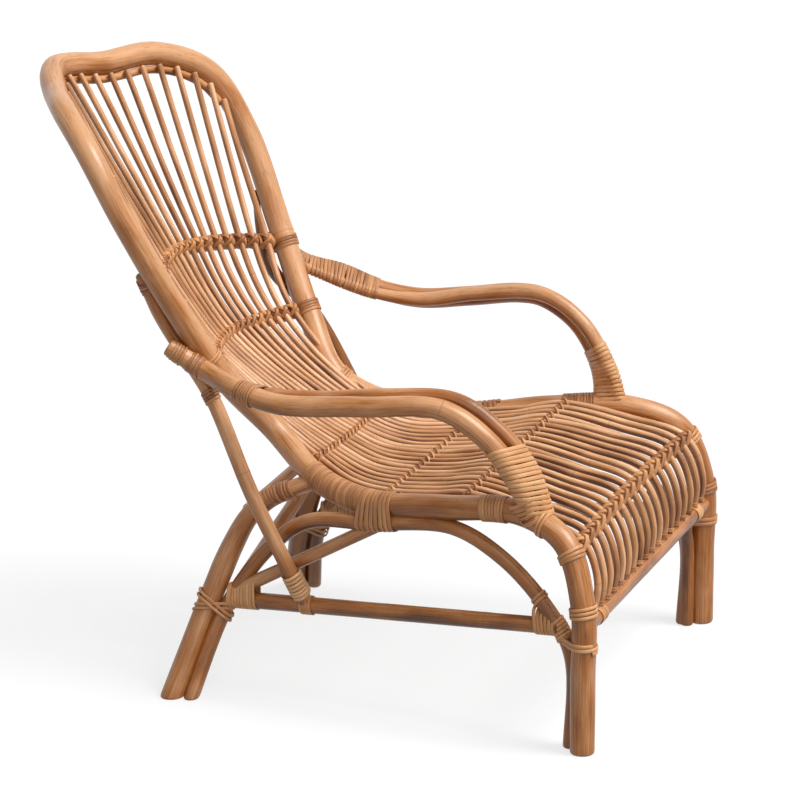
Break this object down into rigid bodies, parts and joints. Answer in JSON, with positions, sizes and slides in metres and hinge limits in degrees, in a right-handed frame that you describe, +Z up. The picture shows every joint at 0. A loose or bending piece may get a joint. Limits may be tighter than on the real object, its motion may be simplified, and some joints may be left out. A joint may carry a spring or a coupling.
{
  "type": "rattan lounge armchair",
  "caption": "Low rattan lounge armchair with a bent-pole frame, a fanned spindle back and seat in one sweep, swept arms, an arched underframe and cane-bound joints.",
  "frame": {"origin": "on the floor, under the middle of the chair's bounding box", "axes": "+Z up, -Y the way the sitter faces, +X to the sitter's left"},
  "size_m": [0.6521, 0.951, 0.8723],
  "materials": {
    "pole": "satin lacquered rattan pole",
    "spindle": "satin lacquered thin rattan",
    "cane": "satin split cane"
  },
  "bodies": {
    "root": {"side_pole_left": "pole", "side_pole_right": "pole", "back_hoop": "pole", "upper_back_bar": "pole", "lower_back_bar": "pole", "rear_seat_bar": "pole", "middle_seat_bar": "pole", "front_seat_bar": "pole", "front_edge_bar": "pole", "front_crossrail": "pole", "crest_rod": "pole", "rear_rail": "pole", "rear_cross_brace": "pole", "front_arch": "pole", "arm_left": "pole", "arm_right": "pole", "arm_rider_left": "pole", "arm_rider_right": "pole", "rear_leg_left": "pole", "rear_leg_right": "pole", "side_arch_left": "pole", "side_arch_right": "pole", "stretcher_left": "pole", "stretcher_right": "pole", "brace_left": "pole", "brace_right": "pole", "back_strut_left": "pole", "back_strut_right": "pole", "spindle_01": "spindle", "spindle_02": "spindle", "spindle_03": "spindle", "spindle_04": "spindle", "spindle_05": "spindle", "spindle_06": "spindle", "spindle_07": "spindle", "spindle_08": "spindle", "spindle_09": "spindle", "spindle_10": "spindle", "spindle_11": "spindle", "spindle_12": "spindle", "spindle_13": "spindle", "spindle_14": "spindle", "spindle_15": "spindle", "spindle_16": "spindle", "spindle_17": "spindle", "spindle_18": "spindle", "spindle_19": "spindle", "spindle_20": "spindle", "spindle_21": "spindle", "arm_front_binding_left": "cane", "arm_front_binding_right": "cane", "arm_rear_binding_left": "cane", "arm_rear_binding_right": "cane", "bend_binding_right": "cane", "rail_binding_left": "cane", "rail_binding_right": "cane", "knee_binding_left": "cane", "knee_binding_right": "cane", "rear_leg_binding_left": "cane", "rear_leg_binding_right": "cane"}
  },
  "joints": []
}
